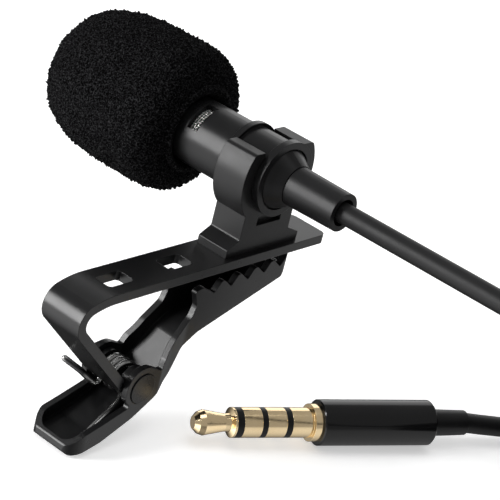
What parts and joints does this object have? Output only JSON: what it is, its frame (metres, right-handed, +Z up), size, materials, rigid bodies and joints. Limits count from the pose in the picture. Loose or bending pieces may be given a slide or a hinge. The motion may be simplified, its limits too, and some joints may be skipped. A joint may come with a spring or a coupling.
{
  "type": "lavalier microphone",
  "caption": "Black clip-on lavalier microphone with a foam windscreen, held in a swivel collar on a spring tie clip, with a thin cable to a stereo jack plug.",
  "frame": {"origin": "on the underside of the clip's top plate, straight below the microphone's axis, where the jaw's teeth press the cloth", "axes": "+X along the top plate from its bend to its free end, +Y along the microphone from cable to windscreen, +Z up, from the plate to the microphone"},
  "size_m": [0.0763, 0.098, 0.0383],
  "materials": {
    "clip_black": "satin black paint on formed steel strip",
    "holder_black": "satin black moulded plastic",
    "pin_black": "blackened steel, slightly shiny",
    "spring_steel": "bright drawn spring wire",
    "mic_black": "satin black anodised turned metal",
    "mesh_steel": "bright woven steel mesh",
    "felt": "dark felt",
    "capsule_metal": "bare turned aluminium",
    "gasket_rubber": "soft black rubber",
    "board_green": "green glass-fibre board",
    "wire_insulation": "insulated stranded wire",
    "crimp_brass": "plain brass",
    "foam_black": "open-cell foam, matt, finely porous",
    "cable_black": "soft satin black cable jacket",
    "relief_rubber": "satin black moulded rubber",
    "tie_black": "black woven strap",
    "plug_gold": "polished gold plating",
    "plug_black": "glossy black insulating plastic",
    "barrel_black": "glossy black moulded barrel"
  },
  "bodies": {
    "clip": {"clip_arm": "clip_black", "mic_holder": "holder_black", "torsion_spring": "spring_steel", "cord_lead": "cable_black", "cord_coil": "cable_black", "cord_tail": "cable_black", "cord_tie": "tie_black", "plug_tip": "plug_gold", "plug_ring_1": "plug_gold", "plug_ring_2": "plug_gold", "plug_sleeve": "plug_gold", "plug_insulators": "plug_black", "plug_barrel": "barrel_black", "plug_relief": "relief_rubber", "plug_cable_end": "cable_black"},
    "jaw": {"clip_jaw": "clip_black", "pivot_pin": "pin_black", "pin_cap": "pin_black"},
    "mic": {"mic_housing": "mic_black", "mic_sleeve": "mic_black", "window_mesh": "mesh_steel", "front_grille": "mesh_steel", "felt_disc": "felt", "electret_capsule": "capsule_metal", "capsule_gasket": "gasket_rubber", "capsule_board": "board_green", "signal_wires": "wire_insulation", "rear_cone": "mic_black", "strain_relief": "relief_rubber", "inner_cable": "cable_black", "cable_crimp": "crimp_brass"},
    "foam": {"windscreen": "foam_black"}
  },
  "joints": [
    {"name": "jaw_hinge", "type": "hinge", "parent": "clip", "child": "jaw", "pos_m": [-0.01705, 0, -0.012], "axis": [0, 1, 0], "range_deg": [0, 22], "stiffness_Nm_per_rad": 0.05, "springref_deg": -40.11, "deforming": ["torsion_spring"]},
    {"name": "mic_turn", "type": "hinge", "parent": "clip", "child": "mic", "pos_m": [0, 0, 0.0104], "axis": [0, 1, 0], "range_deg": [-90, 90]},
    {"name": "windscreen_pull", "type": "slide", "parent": "mic", "child": "foam", "axis": [0, 1, 0], "range_m": [0, 0.025]}
  ]
}
